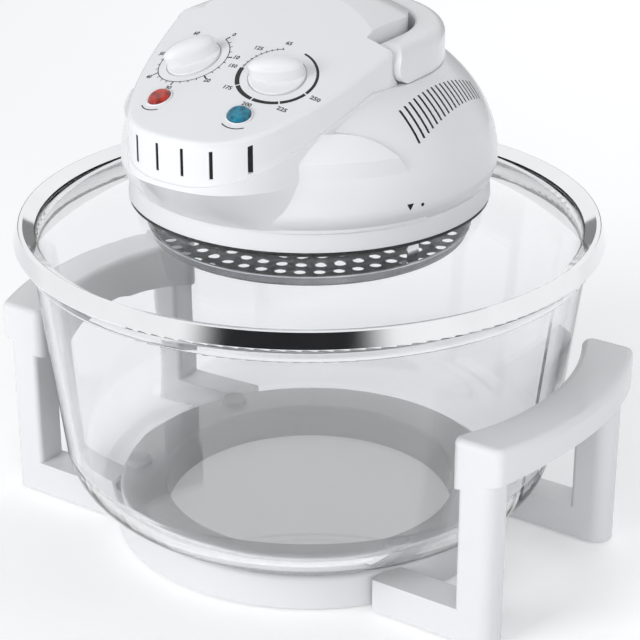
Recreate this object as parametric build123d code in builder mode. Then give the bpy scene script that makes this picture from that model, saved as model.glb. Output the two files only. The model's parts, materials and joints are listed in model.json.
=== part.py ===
"""Halogen oven: glass bowl on a four-legged stand, domed glass lid and a heater head.

Millimetres. The origin is on the surface that the oven stands on, on the axis of the
bowl. +Z is up, the control panel faces -Y, and the two stand handles lie along X.
"""

from build123d import *
from math import asin, cos, degrees, hypot, radians, sin, sqrt, tan
import os

os.makedirs("parts", exist_ok=True)

# ---------------------------------------------------------------- driving dimensions
# clearances
seat_gap = 0.2  # between pieces that rest on each other
shell_gap = 0.8  # round a piece that swings inside a recess
turn_gap = 0.05  # radial, shaft in its hole
slip_gap = 0.3  # round a piece that slides or dips into a hollow

# stand
foot_r = 6.5
foot_proud = 1.0
foot_recess = 2.0
ring_outer_r = 118.0
ring_inner_r = 88.0
ring_h = 21.0
stand_wall = 3.0
arm_y = 68.5  # middle of each arm and post
arm_w = 21.0
arm_h = 20.0
arm_root_x = 96.0
post_inset = 12.5  # bowl side of the posts, inside the widest part of the bowl
post_d = 22.5
post_outer_round = 9.0
post_inner_round = 3.0
post_h = 95.5  # at the bowl side
post_cap = 6.0  # thickness above the hollow
post_floor = 5.0  # thickness round the foot
rib_count = 12
rib_t = 2.4

# handle bars
bar_inset = 0.5  # inner face, inside the widest part of the bowl
bar_w = 30.0
bar_half_len = 79.0
bar_top_z = 125.0
bar_slope = 0.33  # rise of the underside per unit outwards
bar_edge_round = 4.0
bar_end_round = 6.0
bar_screw_r = 2.0
bar_screw_len = 22.0
bar_screw_head_r = 4.0
bar_screw_head_h = 2.6
bar_wall = 3.0
grip_plate_t = 2.5

# pads under the bowl
pad_x = 95.0
pad_y = 50.0
pad_r = 8.0
pad_h = 6.0
pad_recess = 2.0

# bowl
bowl_h = 160.5
bowl_wall = 5.0
bowl_floor = 6.0
bowl_top_r = 161.5
bowl_base_r = 148.0
bowl_corner = 36.0
bead_proud = 4.5  # outwards from the wall
bead_h = 9.5
bead_round = 3.5

# lid glass, its band and gasket
glass_t = 3.8
glass_overhang = 0.8  # beyond the bead of the bowl
glass_land_w = 8.8  # flat edge that rests on the gasket
glass_rise = 21.5  # from the land at the edge to the land at the hole
glass_bulge = 2.6
glass_neck_r = 103.5
glass_hole_r = 95.0
gasket_t = 0.9
gasket_w = 6.0
band_t = 1.2
band_proud = 1.2  # shoulder, outwards from the edge of the glass
band_flare = 3.5  # bottom edge, outwards from the shoulder
band_rise = 5.5  # above the edge of the glass
band_lip_w = 7.8  # inwards from the edge of the glass

# head ring and clamp parts
head_ring_r = 103.0
head_ring_h = 11.0
head_ring_w = 11.0
head_ring_flare = 1.0
grommet_t = 1.0
collar_t = 1.6
deck_t = 1.5
deck_r = 101.2
collar_screw_r = 1.5
collar_screw_circle = 87.0
collar_screw_count = 6
collar_screw_head_r = 2.8
collar_screw_head_h = 2.0
collar_web_r = 93.1
collar_flange_r = 97.0
collar_inner_r = 83.0
collar_screw_len = 14.0

# guard
guard_r = 93.4
guard_drop = 18.7  # from the collar to the underside of the dish
guard_t = 0.8
guard_rim_h = 5.4
guard_lip = 2.2
guard_bend = 1.2
guard_hole_r = 3.4
guard_rings = 8
guard_ring_pitch = 10.35
guard_ring_step = 6  # holes added by each ring
bracket_w = 8.0
bracket_t = 1.0
bracket_count = 3
bracket_turn = -15.0

# reflector, heater and fans
reflector_t = 0.8
reflector_r = 80.0
reflector_drop = 5.0
felt_t = 4.0
shaft_r = 3.0
heater_ring_r = 63.0
heater_tube_r = 4.5
heater_drop = 9.0
heater_open = 36.0  # angle left open between the tube's ends
heater_cap_r = 6.5
heater_cap_h = 9.0
clip_w = 6.0
clip_t = 1.0
heater_clip_turns = (190.0, 270.0, 350.0)
heater_glass_t = 1.0
filament_r = 1.0
sensor_r = 2.5
sensor_len = 40.0
sensor_y = 52.0
fan_r = 44.0
fan_blades = 8
fan_h = 7.0
fan_hub_r = 7.0
fan_drop = 2.0
cooling_fan_r = 38.0
cooling_fan_h = 8.0
blade_t = 1.0

# motor
standoff_h = 14.0
standoff_r = 3.5
standoff_x = 26.0
stack_w = 60.0
stack_front = 22.0  # from the shaft to the front and rear edges
stack_rear = 42.0
stack_window_w = 36.0
stack_window = 19.0  # from the shaft to the near and far side of the coil window
stack_leg = 31.0
stack_h = 16.0
stack_bore_r = 15.0
rotor_gap = 0.5
bearing_t = 2.5
bridge_w = 14.0
bridge_foot_w = 8.0
bearing_rise = 6.0
bush_r = 5.0
bush_h = 8.0
coil_w = 26.0
coil_t = 5.0
nut_r = 5.0
nut_h = 4.0

# lower housing
wall = 2.5
dome_r = 107.5
dome_rise = 80.0
dome_under = 36.0
dome_equator_h = 11.0  # above the bottom edge
deck_h = 67.0  # flat shoulder above the bottom edge
front_r = 105.0
front_taper = 1.0
front_cap_r = 111.0  # spheroid that rounds the top of the front wall
front_cap_rise = 83.0
nose_half_angle = 36.0
ledge = 1.0
vent_count = 18
vent_pitch = 4.3
vent_w = 1.7
vent_first_y = -33.0
vent_top = (63.0, -1.5, -6.5)  # height above the bottom edge: middle, tilt and bow
vent_low = (51.0, 2.0, -7.0)
# y of each point and its height above the bottom edge
front_arch = [(-33.0, 6.0), (-38.0, 16.0), (-48.0, 35.0), (-58.0, 48.0), (-72.0, 52.4)]
arch_meet_y = -76.5  # where the arch reaches the parting line
flare_sink = 0.5  # where the widening starts, inside the front wall
nose_flare_h = 27.0  # height over which the nose widens
boss_r = 4.5
boss_h = 22.0
boss_web = 17.0

# control pod
nose_reach = 129.0
# half width and distance behind the nose
nose_points = [(26.0, 5.0), (42.0, 19.0), (52.0, 37.0), (62.0, 64.0), (70.5, 102.0)]
panel_angle = 23.0
pod_front_h = 24.5
fold_back = 87.0  # from the nose to the fold in the parting line
panel_crown_r = 220.0
panel_round = 3.0
pod_top_h = 40.0  # above the shoulder
tongue_r = 54.0
tongue_y = 2.0
pod_cap_r = 122.0  # ball that rounds the top of the tongue
pod_cap_y = -8.0
pod_rear_y = -20.0  # rear end of the wide part
pod_ledge_w = 10.0
slot_w = 1.9
slot_h = 14.0
slot_pitch = 16.0
slot_count = 6
slot_below_edge = 4.0
slot_reach = 24.0  # back from the nose
pod_screw_r = 1.6
pod_screw_head_r = 3.0
pod_screw_spots = [(41.5, -100.5), (-41.5, -100.5), (34.3, 36.3), (-34.3, 36.3)]
pod_screw_len = 12.0

# knobs, lamps and what is behind them
knob_x = 27.5
knob_back = 58.0
knob_r = 15.3
knob_base_h = 1.8
knob_grip_h = 11.0
knob_grip_w = 13.0
dish_depth = 1.2
dish_gap = 0.7
knob_shaft_r = 3.0
knob_socket_depth = 8.0
timer_knob_turn = 42.0
thermostat_knob_turn = 27.0
module_size = 30.0
module_bore = 12.0
timer_depth = 27.0
thermostat_depth = 22.0
bell_r = 13.0
bell_h = 6.0
lamp_x = 26.0
lamp_back = 26.0
lens_r = 6.2
lens_h = 2.6
lens_stem_r = 5.0
lens_stem = 5.0
bulb_r = 3.0
bulb_h = 14.0

# carry handle
pivot_y = -14.0
handle_h = 20.0
handle_outer_r = 75.0
handle_w = 17.4
handle_outer_round = 7.0
handle_inner_round = 2.0
pin_r = 3.0
pin_inset = 6.0
pin_lug_w = 7.0

# cord gland and terminal block
gland_r = 8.0
gland_bore_r = 3.6
gland_out = 6.0
gland_flange_r = 9.5
gland_z_up = 22.0
terminal_w = 30.0
terminal_d = 12.0
terminal_h = 10.0
terminal_y = 76.0

# ---------------------------------------------------------------- radii, inside out
bowl_max_r = max(bowl_top_r, bowl_base_r)
bead_r = bowl_top_r + bead_proud
glass_edge_r = bead_r + glass_overhang
glass_land_r = glass_edge_r - glass_land_w
band_lip_r = glass_edge_r - band_lip_w
band_shoulder_r = glass_edge_r + band_proud
band_r = band_shoulder_r + band_flare
post_x = bowl_max_r - post_inset
bar_inner_r = bowl_max_r - bar_inset
bar_outer_r = bar_inner_r + bar_w

# ---------------------------------------------------------------- heights, bottom up
stand_z = foot_proud
ring_top_z = stand_z + ring_h
bowl_z = ring_top_z + pad_h - pad_recess + seat_gap
bowl_rim_z = bowl_z + bowl_h
gasket_z = bowl_rim_z + seat_gap
glass_z = gasket_z + gasket_t
glass_land_z = glass_z + glass_t
glass_top_z = glass_land_z + glass_rise
grommet_z = glass_top_z + grommet_t
deck_z = grommet_z + deck_t
head_z = glass_top_z + head_ring_h
collar_foot_z = glass_top_z - glass_t - grommet_t
guard_z = collar_foot_z - collar_t - guard_drop
collar_top_z = grommet_z - collar_t
reflector_z = collar_top_z - reflector_t - reflector_drop
shoulder_z = head_z + deck_h
equator_z = head_z + dome_equator_h
pivot_z = shoulder_z + handle_h / 2 + slip_gap
pod_top_z = shoulder_z + pod_top_h
slope = tan(radians(panel_angle))
fold_y = fold_back - nose_reach
knob_y = knob_back - nose_reach
lamp_y = lamp_back - nose_reach


def parting_z(y):
    """Height of the face between the lower housing and the pod."""
    return shoulder_z + slope * min(0.0, y - fold_y)


def crest_z(y):
    """Height of the middle line of the control panel."""
    return shoulder_z + slope * (y - fold_y) + pod_front_h


def crown_drop(x):
    """How far the crowned panel lies below its middle line."""
    return panel_crown_r - sqrt(panel_crown_r**2 - x**2)


def slope_plane(y):
    """Plane through the middle line of the panel at y, local z square to it."""
    a = radians(panel_angle)
    return Plane(origin=(0, y, crest_z(y)), x_dir=(1, 0, 0), z_dir=(0, -sin(a), cos(a)))


def panel_plane(x, y, depth=0.0):
    """Plane touching the crowned panel at x and y, sunk by depth, local z outwards."""
    a = radians(panel_angle)
    tilt = asin(x / panel_crown_r)
    outwards = Vector(sin(tilt), -sin(a) * cos(tilt), cos(a) * cos(tilt))
    across = Vector(cos(tilt), sin(a) * sin(tilt), -cos(a) * sin(tilt))
    drop = crown_drop(x)
    on_panel = Vector(x, y + drop * sin(a), crest_z(y) - drop * cos(a))
    return Plane(origin=on_panel - outwards * depth, x_dir=across, z_dir=outwards)


def parting_plane(x, y, up=0.0):
    """Plane on the parting face at x and y, its origin raised by up."""
    a = radians(panel_angle) if y < fold_y else 0.0
    origin = (x, y - up * sin(a), parting_z(y) + up * cos(a))
    return Plane(origin=origin, x_dir=(1, 0, 0), z_dir=(0, -sin(a), cos(a)))


def finish(piece, name):
    """Label a finished piece and write it."""
    piece.part.label = name
    export_step(piece.part, f"parts/{name}.step")


# ---------------------------------------------------------------- stand
post_mid_x = post_x + post_d / 2
underside_z = post_h - bar_slope * post_x  # underside of a bar, carried back to the axis
far_x = bar_outer_r + post_d


def above_slope(lift):
    """Everything above the sloping underside of the bar on the +X side, raised by lift."""
    low = underside_z + lift
    with BuildPart() as region:
        with BuildSketch(Plane.XZ):
            with BuildLine():
                far_low = low + bar_slope * far_x
                Polyline((0, low), (far_x, far_low), (far_x, 2 * bar_top_z), (0, 2 * bar_top_z), close=True)
            make_face()
        extrude(amount=bar_outer_r, both=True)
    return region.part


def bar_outline(inset):
    """Plan of the bar on the +X side: a crescent with flat ends."""
    with BuildSketch() as outline:
        Circle(bar_outer_r - inset)
        Circle(bar_inner_r + inset, mode=Mode.SUBTRACT)
        with Locations((bar_outer_r / 2, 0)):
            Rectangle(bar_outer_r, 2 * (bar_half_len - inset), mode=Mode.INTERSECT)
    return outline.sketch


def post_outline(inset):
    """Plan of the post on the +X +Y side."""
    with BuildSketch() as outline:
        with Locations((post_mid_x, arm_y)):
            Rectangle(post_d, arm_w)
        fillet(outline.vertices().group_by(Axis.X)[-1], post_outer_round)
        fillet(outline.vertices().group_by(Axis.X)[0], post_inner_round)
        offset(amount=-inset)
    return outline.sketch


post_form = extrude(Pos(0, 0, stand_z) * post_outline(0), amount=bar_top_z) - above_slope(0)
hollow_h = post_h - post_cap - post_floor - stand_z
post_hollow = extrude(Pos(0, 0, stand_z + post_floor) * post_outline(stand_wall), amount=hollow_h)
arm_len = post_mid_x - arm_root_x
rib_mid_r = (ring_outer_r + ring_inner_r) / 2

with BuildPart() as stand_hollow:
    with BuildSketch(Plane.XY.offset(stand_z)):
        Circle(ring_outer_r - stand_wall)
        Circle(ring_inner_r + stand_wall, mode=Mode.SUBTRACT)
    extrude(amount=ring_h - stand_wall)
    with PolarLocations(rib_mid_r, rib_count, start_angle=180 / rib_count):
        with Locations((0, 0, stand_z + ring_h / 2)):
            Box(ring_outer_r - ring_inner_r, rib_t, ring_h, mode=Mode.SUBTRACT)
    with Locations(((arm_root_x + post_x) / 2, arm_y, stand_z + (arm_h - stand_wall) / 2)):
        Box(post_x - arm_root_x, arm_w - 2 * stand_wall, arm_h - stand_wall)
    with Locations((pad_x, pad_y, stand_z + ring_h / 2)):
        Cylinder(pad_r, ring_h, mode=Mode.SUBTRACT)
    add(post_hollow)
    mirror(about=Plane.XZ)
    mirror(about=Plane.YZ)

with BuildPart() as base_stand:
    with BuildSketch(Plane.XY.offset(stand_z)):
        Circle(ring_outer_r)
        Circle(ring_inner_r, mode=Mode.SUBTRACT)
    extrude(amount=ring_h)
    fillet(base_stand.edges().group_by(Axis.Z)[-1], stand_wall)
    with Locations((arm_root_x + arm_len / 2, arm_y, stand_z + arm_h / 2)):
        Box(arm_len, arm_w, arm_h)
    add(post_form)
    mirror(about=Plane.XZ)
    mirror(about=Plane.YZ)
    add(stand_hollow.part, mode=Mode.SUBTRACT)
    with GridLocations(2 * pad_x, 2 * pad_y, 2, 2):
        with Locations((0, 0, ring_top_z - pad_recess)):
            Cylinder(pad_r, ring_h, align=(Align.CENTER, Align.CENTER, Align.MIN), mode=Mode.SUBTRACT)
    with GridLocations(2 * post_mid_x, 2 * arm_y, 2, 2):
        with Locations((0, 0, stand_z)):
            Cylinder(foot_r, foot_recess, align=(Align.CENTER, Align.CENTER, Align.MIN), mode=Mode.SUBTRACT)
            Cylinder(bar_screw_head_r + slip_gap, 2 * post_floor, mode=Mode.SUBTRACT)
        with Locations((0, 0, post_h)):
            Cylinder(bar_screw_r + turn_gap, 4 * post_cap, mode=Mode.SUBTRACT)
finish(base_stand, "base_stand")

with BuildPart() as rubber_feet:
    with GridLocations(2 * post_mid_x, 2 * arm_y, 2, 2):
        Cylinder(foot_r, foot_proud + foot_recess, align=(Align.CENTER, Align.CENTER, Align.MIN))
    fillet(rubber_feet.edges().group_by(Axis.Z)[0], foot_proud / 2)
finish(rubber_feet, "rubber_feet")

with BuildPart() as rest_pads:
    with GridLocations(2 * pad_x, 2 * pad_y, 2, 2):
        with Locations((0, 0, ring_top_z - pad_recess)):
            Cylinder(pad_r, pad_h, align=(Align.CENTER, Align.CENTER, Align.MIN))
    fillet(rest_pads.edges().group_by(Axis.Z)[-1], pad_recess)
finish(rest_pads, "rest_pads")

screw_head_z = post_h - post_cap

bar_hollow = extrude(bar_outline(bar_wall), amount=bar_top_z - bar_wall)
above_bar = above_slope(0)
above_plate = above_slope(grip_plate_t)

with BuildPart() as bar_bosses:
    with Locations((post_mid_x, arm_y, 0), (post_mid_x, -arm_y, 0)):
        Cylinder(3 * bar_screw_r, bar_top_z, align=(Align.CENTER, Align.CENTER, Align.MIN))
        Cylinder(bar_screw_r + turn_gap, 2 * (screw_head_z + bar_screw_len), mode=Mode.SUBTRACT)
    with BuildSketch():
        Circle(bar_inner_r + bar_wall / 2)
    extrude(amount=bar_top_z, mode=Mode.SUBTRACT)
    add(above_plate, mode=Mode.INTERSECT)

with BuildPart() as handle_bar_right:
    with BuildSketch() as bar_plan:
        add(bar_outline(0))
        fillet(bar_plan.vertices(), bar_end_round)
    extrude(amount=bar_top_z)
    fillet(handle_bar_right.edges().group_by(Axis.Z)[-1], bar_edge_round)
    add(bar_hollow, mode=Mode.SUBTRACT)
    add(bar_bosses.part)
    add(above_bar, mode=Mode.INTERSECT)
finish(handle_bar_right, "handle_bar_right")

with BuildPart() as handle_bar_left:
    add(Rot(0, 0, 180) * handle_bar_right.part)
finish(handle_bar_left, "handle_bar_left")

with BuildPart() as grip_plates:
    with BuildSketch():
        add(bar_outline(bar_wall + turn_gap))
    extrude(amount=bar_top_z)
    add(above_bar, mode=Mode.INTERSECT)
    add(above_plate, mode=Mode.SUBTRACT)
    with Locations((post_mid_x, arm_y, 0), (post_mid_x, -arm_y, 0)):
        Cylinder(bar_screw_r + turn_gap, 2 * bar_top_z, mode=Mode.SUBTRACT)
    mirror(about=Plane.YZ)
finish(grip_plates, "grip_plates")

with BuildPart() as handle_screws:
    with GridLocations(2 * post_mid_x, 2 * arm_y, 2, 2):
        with Locations((0, 0, screw_head_z)):
            Cylinder(bar_screw_r, bar_screw_len - 1, align=(Align.CENTER, Align.CENTER, Align.MIN))
            Cylinder(bar_screw_head_r, bar_screw_head_h, align=(Align.CENTER, Align.CENTER, Align.MAX))
        with Locations((0, 0, screw_head_z - bar_screw_head_h)):
            Box(1.2 * bar_screw_head_r, bar_screw_r / 2, bar_screw_head_h, mode=Mode.SUBTRACT)
finish(handle_screws, "handle_screws")

# ---------------------------------------------------------------- bowl
bead_z = bowl_rim_z - bead_h
wall_lean = (bowl_top_r - bowl_base_r) / (bead_z - bowl_z - bowl_corner)
foot_edge_r = bowl_base_r - wall_lean * bowl_corner  # where the wall line meets the bottom

with BuildPart() as glass_bowl:
    with BuildSketch(Plane.XZ):
        with BuildLine():
            Polyline(
                (0, bowl_z),
                (foot_edge_r, bowl_z),
                (bowl_top_r, bead_z),
                (bead_r, bead_z),
                (bead_r, bowl_rim_z),
                (bowl_top_r - bowl_wall, bowl_rim_z),
                (bowl_top_r - bowl_wall, bead_z),
                (foot_edge_r - bowl_wall, bowl_z + bowl_floor),
                (0, bowl_z + bowl_floor),
                close=True,
            )
        make_face()
    revolve(axis=Axis.Z)
    for corner_r, corner_z, radius in (
        (foot_edge_r, bowl_z, bowl_corner),
        (foot_edge_r - bowl_wall, bowl_z + bowl_floor, bowl_corner - bowl_wall),
        (bead_r, bowl_rim_z, bead_round),
        (bead_r, bead_z, bead_round),
        (bowl_top_r - bowl_wall, bowl_rim_z, bead_round),
    ):
        circles = glass_bowl.edges().filter_by(GeomType.CIRCLE)
        corner = circles.sort_by(lambda e: hypot(e.radius - corner_r, e.arc_center.Z - corner_z))[0]
        fillet(corner, radius)
finish(glass_bowl, "glass_bowl")

# ---------------------------------------------------------------- lid glass, gasket and band
def ring_strip(points, thickness, bend):
    """Section in XZ of a thin bent sheet whose one face follows points."""
    with BuildSketch(Plane.XZ) as section:
        with BuildLine():
            FilletPolyline(*points, radius=bend)
            offset(amount=thickness, side=Side.LEFT)
        make_face()
    return section.sketch


dome_mid_r = (glass_land_r + glass_neck_r) / 2
dome_mid_z = glass_land_z + glass_rise / 2 + glass_bulge

with BuildPart() as lid_glass:
    with BuildSketch(Plane.XZ):
        with BuildLine():
            Polyline((glass_land_r, glass_land_z), (glass_edge_r, glass_land_z), (glass_edge_r, glass_z))
            Line((glass_edge_r, glass_z), (glass_land_r, glass_z))
            ThreePointArc(
                (glass_land_r, glass_z),
                (dome_mid_r, dome_mid_z - glass_t),
                (glass_neck_r, glass_top_z - glass_t),
            )
            Polyline(
                (glass_neck_r, glass_top_z - glass_t),
                (glass_hole_r, glass_top_z - glass_t),
                (glass_hole_r, glass_top_z),
                (glass_neck_r, glass_top_z),
            )
            ThreePointArc((glass_neck_r, glass_top_z), (dome_mid_r, dome_mid_z), (glass_land_r, glass_land_z))
        make_face()
    revolve(axis=Axis.Z)
    fillet(lid_glass.edges().group_by(Axis.Z)[-1].sort_by(SortBy.RADIUS)[0], glass_t / 4)
finish(lid_glass, "lid_glass")

gasket_mid_r = (bowl_top_r - bowl_wall + bead_r) / 2

with BuildPart() as lid_gasket:
    with BuildSketch(Plane.XY.offset(gasket_z)):
        Circle(gasket_mid_r + gasket_w / 2)
        Circle(gasket_mid_r - gasket_w / 2, mode=Mode.SUBTRACT)
    extrude(amount=gasket_t)
finish(lid_gasket, "lid_gasket")

band_bottom_z = glass_z - band_t - turn_gap
band_top_z = glass_land_z + band_rise
with BuildPart() as lid_band:
    add(
        ring_strip(
            [
                (glass_edge_r - 2 * band_t, band_bottom_z),
                (band_r, band_bottom_z),
                (band_shoulder_r, band_top_z),
                (glass_edge_r - band_t, band_top_z),
                (band_lip_r, glass_land_z + band_t + turn_gap),
            ],
            band_t,
            band_t,
        )
    )
    revolve(axis=Axis.Z)
finish(lid_band, "lid_band")

# ---------------------------------------------------------------- clamp parts under and over the glass
with BuildPart() as glass_grommet:
    with BuildSketch(Plane.XZ):
        with BuildLine():
            Polyline(
                (glass_neck_r - 2, grommet_z),
                (glass_hole_r - grommet_t, grommet_z),
                (glass_hole_r - grommet_t, collar_foot_z),
                (glass_neck_r - 2, collar_foot_z),
            )
            offset(amount=grommet_t, side=Side.LEFT)
        make_face()
    revolve(axis=Axis.Z)
finish(glass_grommet, "glass_grommet")

screw_turn = 180 / collar_screw_count
collar_web_in_r = collar_web_r - collar_t

with BuildPart() as collar:
    with BuildSketch(Plane.XZ):
        with BuildLine():
            Polyline(
                (collar_inner_r, grommet_z),
                (collar_web_r, grommet_z),
                (collar_web_r, collar_foot_z),
                (collar_flange_r, collar_foot_z),
            )
            offset(amount=collar_t, side=Side.RIGHT)
        make_face()
    revolve(axis=Axis.Z)
    with PolarLocations(collar_screw_circle, collar_screw_count, start_angle=screw_turn):
        with Locations((0, 0, collar_top_z)):
            Cylinder(collar_screw_r + turn_gap, 3 * collar_t, mode=Mode.SUBTRACT)
finish(collar, "collar")

with BuildPart() as deck_plate:
    with BuildSketch(Plane.XY.offset(grommet_z)):
        Circle(deck_r)
        Circle(bush_r + 2 * slip_gap, mode=Mode.SUBTRACT)
        with PolarLocations(collar_screw_circle, collar_screw_count, start_angle=screw_turn):
            Circle(collar_screw_r + turn_gap, mode=Mode.SUBTRACT)
        with Locations((0, terminal_y)):
            Rectangle(terminal_w / 2, terminal_d / 3, mode=Mode.SUBTRACT)
    extrude(amount=deck_t)
finish(deck_plate, "deck_plate")

head_ring_in_r = head_ring_r - head_ring_w
with BuildPart() as head_ring:
    with BuildSketch(Plane.XZ):
        with BuildLine():
            Polyline(
                (head_ring_in_r, head_z),
                (head_ring_r, head_z),
                (head_ring_r + head_ring_flare, glass_top_z + seat_gap),
                (glass_neck_r - 2 + seat_gap, glass_top_z + seat_gap),
                (glass_neck_r - 2 + seat_gap, deck_z),
                (head_ring_in_r, deck_z),
                close=True,
            )
        make_face()
    revolve(axis=Axis.Z)
    fillet(head_ring.edges().group_by(Axis.Z)[-1].sort_by(SortBy.RADIUS)[-1], head_ring_flare)
finish(head_ring, "head_ring")

screw_foot_z = collar_top_z - reflector_t
with BuildPart() as collar_screws:
    with PolarLocations(collar_screw_circle, collar_screw_count, start_angle=screw_turn):
        with Locations((0, 0, screw_foot_z)):
            Cylinder(collar_screw_r, collar_screw_len, align=(Align.CENTER, Align.CENTER, Align.MIN))
            Cylinder(collar_screw_head_r, collar_screw_head_h, align=(Align.CENTER, Align.CENTER, Align.MAX))
        with Locations((0, 0, screw_foot_z - collar_screw_head_h)):
            Box(1.4 * collar_screw_head_r, collar_screw_r / 2, collar_screw_head_h, mode=Mode.SUBTRACT)
finish(collar_screws, "collar_screws")

# ---------------------------------------------------------------- guard
with BuildPart() as guard:
    add(
        ring_strip(
            [
                (shaft_r, guard_z),
                (guard_r - guard_lip, guard_z),
                (guard_r - guard_lip, guard_z + guard_rim_h),
                (guard_r, guard_z + guard_rim_h),
            ],
            guard_t,
            guard_bend,
        )
    )
    revolve(axis=Axis.Z)
    with BuildSketch(Plane.XY.offset(guard_z)):
        for ring in range(1, guard_rings + 1):
            with PolarLocations(ring * guard_ring_pitch, guard_ring_step * ring):
                Circle(guard_hole_r)
    extrude(amount=guard_t, both=True, mode=Mode.SUBTRACT)
finish(guard, "guard")

bracket_r = collar_inner_r + bracket_w / 2
with BuildPart() as bracket:
    with BuildSketch(Plane.XZ):
        with BuildLine():
            Polyline(
                (bracket_r - bracket_w, guard_z + guard_t),
                (bracket_r, guard_z + guard_t),
                (bracket_r, screw_foot_z - bracket_t),
                (collar_web_in_r - slip_gap, screw_foot_z - bracket_t),
            )
            offset(amount=bracket_t, side=Side.LEFT)
        make_face()
    extrude(amount=bracket_w / 2, both=True)

with BuildPart() as guard_brackets:
    with PolarLocations(0, bracket_count, start_angle=bracket_turn):
        add(bracket.part)
finish(guard_brackets, "guard_brackets")


# ---------------------------------------------------------------- reflector, insulation and heater
def radial_plane(turn):
    """Upright plane through the axis: local x points outwards at turn degrees, local y is up."""
    a = radians(turn)
    return Plane(origin=(0, 0, 0), x_dir=(cos(a), sin(a), 0), z_dir=(sin(a), -cos(a), 0))


with BuildPart() as reflector:
    add(
        ring_strip(
            [
                (bush_r + 2 * slip_gap, reflector_z),
                (reflector_r - reflector_drop, reflector_z),
                (reflector_r, screw_foot_z),
                (collar_web_in_r - slip_gap, screw_foot_z),
            ],
            reflector_t,
            reflector_t,
        )
    )
    revolve(axis=Axis.Z)
    with PolarLocations(collar_screw_circle, collar_screw_count, start_angle=screw_turn):
        with Locations((0, 0, screw_foot_z)):
            Cylinder(collar_screw_r + turn_gap, 3 * reflector_t, mode=Mode.SUBTRACT)
finish(reflector, "reflector")

with BuildPart() as felt_pad:
    with BuildSketch(Plane.XY.offset(reflector_z + reflector_t)):
        Circle(reflector_r - 2 * reflector_drop)
        Circle(2 * bush_r, mode=Mode.SUBTRACT)
    extrude(amount=felt_t)
finish(felt_pad, "felt_pad")

heater_z = reflector_z - heater_drop
heater_from = 90 + heater_open / 2
heater_to = 90 - heater_open / 2

with BuildPart() as heater_tube:
    with BuildSketch(radial_plane(heater_from)):
        with Locations((heater_ring_r, heater_z)):
            Circle(heater_tube_r)
            Circle(heater_tube_r - heater_glass_t, mode=Mode.SUBTRACT)
    revolve(axis=Axis.Z, revolution_arc=360 - heater_open)
finish(heater_tube, "heater_tube")

with BuildPart() as heater_filament:
    with BuildSketch(radial_plane(heater_from)):
        with Locations((heater_ring_r, heater_z)):
            Circle(filament_r)
    revolve(axis=Axis.Z, revolution_arc=360 - heater_open)
finish(heater_filament, "heater_filament")

with BuildPart() as heater_ends:
    for turn, length in ((heater_from, heater_cap_h), (heater_to, -heater_cap_h)):
        with BuildSketch(radial_plane(turn)):
            with Locations((heater_ring_r, heater_z)):
                Circle(heater_cap_r)
                Rectangle(heater_cap_r, heater_drop, align=(Align.CENTER, Align.MIN))
        extrude(amount=length)
finish(heater_ends, "heater_ends")

clip_in_r = heater_tube_r + 3 * turn_gap
with BuildPart() as heater_clips:
    for turn in heater_clip_turns:
        with BuildSketch(radial_plane(turn)):
            with Locations((heater_ring_r, heater_z)):
                Circle(clip_in_r + clip_t)
                Rectangle(2 * (clip_in_r + clip_t), heater_drop, align=(Align.CENTER, Align.MIN))
                Circle(clip_in_r, mode=Mode.SUBTRACT)
                Rectangle(2 * clip_in_r, heater_drop, align=(Align.CENTER, Align.MIN), mode=Mode.SUBTRACT)
        extrude(amount=clip_w / 2, both=True)
finish(heater_clips, "heater_clips")

with BuildPart() as sensor_bulb:
    with Locations(Location((0, -sensor_y, reflector_z - sensor_r), (0, 90, 0))):
        Cylinder(sensor_r, sensor_len)
    fillet(sensor_bulb.edges(), sensor_r / 2)
finish(sensor_bulb, "sensor_bulb")

# ---------------------------------------------------------------- motor and fans
stack_z = deck_z + standoff_h
stack_top_z = stack_z + stack_h
lower_bridge_z = stack_z - bearing_rise - bearing_t
upper_bridge_z = stack_top_z + bearing_rise
fan_top_z = reflector_z - fan_drop
cooling_fan_z = upper_bridge_z + bearing_t + bush_h / 2 + fan_drop / 2
shaft_top_z = cooling_fan_z + cooling_fan_h + nut_h + 1
shaft_foot_z = fan_top_z - fan_h - nut_h - 1
stack_mid_y = (stack_rear - stack_front) / 2

with BuildPart() as motor_stack:
    with BuildSketch(Plane.XY.offset(stack_z)):
        with Locations((0, stack_mid_y)):
            Rectangle(stack_w, stack_front + stack_rear)
        Circle(stack_bore_r, mode=Mode.SUBTRACT)
        with Locations((0, (stack_window + stack_leg) / 2)):
            Rectangle(stack_window_w, stack_leg - stack_window, mode=Mode.SUBTRACT)
    extrude(amount=stack_h)
finish(motor_stack, "motor_stack")

leg_w = stack_rear - stack_leg
with BuildPart() as motor_coil:
    with Locations((0, (stack_leg + stack_rear) / 2, stack_z + stack_h / 2)):
        Box(coil_w, leg_w + 2 * coil_t, stack_h + 2 * coil_t)
    fillet(motor_coil.edges().filter_by(Axis.X), coil_t / 2)
    with Locations((0, (stack_leg + stack_rear) / 2, stack_z + stack_h / 2)):
        Box(coil_w, leg_w, stack_h, mode=Mode.SUBTRACT)
finish(motor_coil, "motor_coil")

with BuildPart() as motor_standoffs:
    with Locations((0, stack_mid_y, deck_z)):
        with GridLocations(2 * standoff_x, stack_front + stack_rear - 3 * standoff_r, 2, 2):
            Cylinder(standoff_r, standoff_h, align=(Align.CENTER, Align.CENTER, Align.MIN))
finish(motor_standoffs, "motor_standoffs")

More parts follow.
